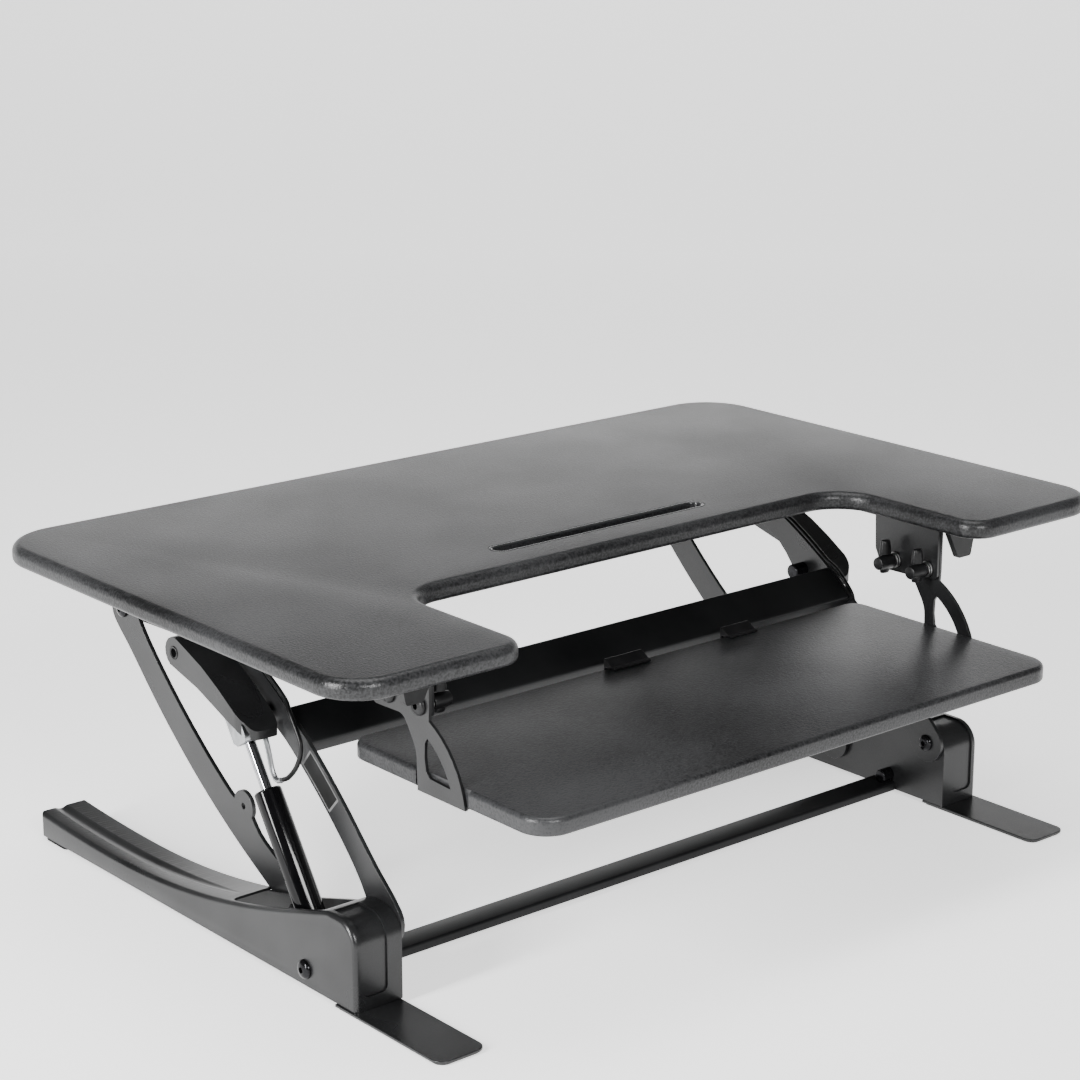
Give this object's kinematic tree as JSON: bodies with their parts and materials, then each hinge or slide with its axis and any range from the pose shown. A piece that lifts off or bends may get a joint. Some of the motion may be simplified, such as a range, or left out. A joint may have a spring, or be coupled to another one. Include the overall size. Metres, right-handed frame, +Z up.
{
  "type": "standing desk converter",
  "caption": "Sit-stand desk riser with a keyboard tray, lifted on parallel curved arms by locking gas springs worked from squeeze handles.",
  "frame": {"origin": "centre of the outline at the surface the converter stands on, at rest", "axes": "+X to the user's right, +Y away from the user, +Z up"},
  "size_m": [0.914, 0.6752, 0.331],
  "materials": {
    "powder_coat": "satin dark grey powder coat",
    "laminate": "fine-grained black foil over board",
    "fastener": "black zinc",
    "cylinder_lacquer": "gloss black lacquer",
    "chrome": "polished",
    "cast_alloy": "as cast",
    "rubber": "matt",
    "cable": "smooth sheath",
    "nylon": "fine matt"
  },
  "bodies": {
    "base": {"lower_crossbeam": "powder_coat", "base_shell_left": "powder_coat", "base_shell_right": "powder_coat", "inner_plate_left": "powder_coat", "inner_plate_right": "powder_coat", "foot_plate_left": "powder_coat", "foot_plate_right": "powder_coat", "front_pad_left": "rubber", "front_pad_right": "rubber", "rear_pad_left": "rubber", "rear_pad_right": "rubber", "front_pivot_bolt_left": "fastener", "front_pivot_bolt_right": "fastener", "rear_pivot_bolt_left": "fastener", "rear_pivot_bolt_right": "fastener", "spring_bolt_left": "fastener", "spring_bolt_right": "fastener", "spring_nut_left": "fastener", "spring_nut_right": "fastener"},
    "front_arms": {"upper_crossbeam": "powder_coat", "front_arm_left": "powder_coat", "front_arm_right": "powder_coat", "spring_bracket_left": "powder_coat", "spring_bracket_right": "powder_coat", "spring_pin_left": "fastener", "spring_pin_right": "fastener", "release_cable_lower_left": "cable", "release_cable_lower_right": "cable"},
    "rear_lift_left": {"rear_arm_left": "powder_coat"},
    "rear_lift_right": {"rear_arm_right": "powder_coat"},
    "rod_left": {"spring_rod_left": "chrome", "release_head_left": "cast_alloy"},
    "rod_right": {"spring_rod_right": "chrome", "release_head_right": "cast_alloy"},
    "cylinder_left": {"spring_cylinder_left": "cylinder_lacquer"},
    "cylinder_right": {"spring_cylinder_right": "cylinder_lacquer"},
    "desktop": {"desktop_panel": "laminate", "keyboard_tray": "laminate", "tray_rear_clip_centre": "nylon", "tray_rear_clip_right": "nylon", "hinge_bracket_left": "powder_coat", "hinge_bracket_right": "powder_coat", "front_top_bolt_left": "fastener", "front_top_bolt_right": "fastener", "rear_top_bolt_left": "fastener", "rear_top_bolt_right": "fastener", "tray_hanger_left": "powder_coat", "tray_hanger_right": "powder_coat", "tray_bracket_left": "powder_coat", "tray_bracket_right": "powder_coat", "tray_knob_front_left": "nylon", "tray_knob_front_right": "nylon", "tray_knob_rear_left": "nylon", "tray_knob_rear_right": "nylon", "handle_bracket_left": "powder_coat", "handle_bracket_right": "powder_coat", "release_cable_upper_left": "cable", "release_cable_upper_right": "cable"},
    "handle_left": {"release_handle_left": "nylon"},
    "handle_right": {"release_handle_right": "nylon"}
  },
  "joints": [
    {"name": "lift", "type": "hinge", "parent": "base", "child": "front_arms", "pos_m": [0, -0.16205, 0.069], "axis": [1, 0, 0], "range_deg": [-29.4, 21.3]},
    {"name": "desktop_level", "type": "hinge", "parent": "front_arms", "child": "desktop", "pos_m": [0, 0.12008, 0.28083], "axis": [1, 0, 0], "range_deg": [-21.4, 29.5]},
    {"name": "rear_arm_swing_left", "type": "hinge", "parent": "base", "child": "rear_lift_left", "pos_m": [-0.338, -0.03305, 0.036], "axis": [1, 0, 0], "range_deg": [-29.5, 21.4]},
    {"name": "spring_swing_left", "type": "hinge", "parent": "front_arms", "child": "rod_left", "pos_m": [-0.365, 0.01613, 0.21086], "axis": [1, 0, 0], "range_deg": [-6, 6]},
    {"name": "spring_stroke_left", "type": "slide", "parent": "rod_left", "child": "cylinder_left", "axis": [0, -0.5515, -0.8342], "range_m": [-0.0375, 0.0275]},
    {"name": "release_left", "type": "hinge", "parent": "desktop", "child": "handle_left", "pos_m": [-0.33675, -0.16305, 0.303], "axis": [-1, 0, 0], "range_deg": [0, 12], "stiffness_Nm_per_rad": 2, "springref_deg": -20.05},
    {"name": "rear_arm_swing_right", "type": "hinge", "parent": "base", "child": "rear_lift_right", "pos_m": [0.338, -0.03305, 0.036], "axis": [1, 0, 0], "range_deg": [-29.5, 21.4]},
    {"name": "spring_swing_right", "type": "hinge", "parent": "front_arms", "child": "rod_right", "pos_m": [0.365, 0.01613, 0.21086], "axis": [1, 0, 0], "range_deg": [-6, 6]},
    {"name": "spring_stroke_right", "type": "slide", "parent": "rod_right", "child": "cylinder_right", "axis": [0, -0.5515, -0.8342], "range_m": [-0.0375, 0.0275]},
    {"name": "release_right", "type": "hinge", "parent": "desktop", "child": "handle_right", "pos_m": [0.33675, -0.16305, 0.303], "axis": [-1, 0, 0], "range_deg": [0, 12], "stiffness_Nm_per_rad": 2, "springref_deg": -20.05}
  ],
  "couplings": [
    {"joint": "desktop_level", "follows": "lift", "ratio": -1},
    {"joint": "rear_arm_swing_left", "follows": "lift", "ratio": 1},
    {"joint": "spring_swing_left", "follows": "lift", "ratio": -0.032},
    {"joint": "spring_stroke_left", "follows": "lift", "m_per_rad": 0.06925},
    {"joint": "rear_arm_swing_right", "follows": "lift", "ratio": 1},
    {"joint": "spring_swing_right", "follows": "lift", "ratio": -0.032},
    {"joint": "spring_stroke_right", "follows": "lift", "m_per_rad": 0.06925}
  ]
}
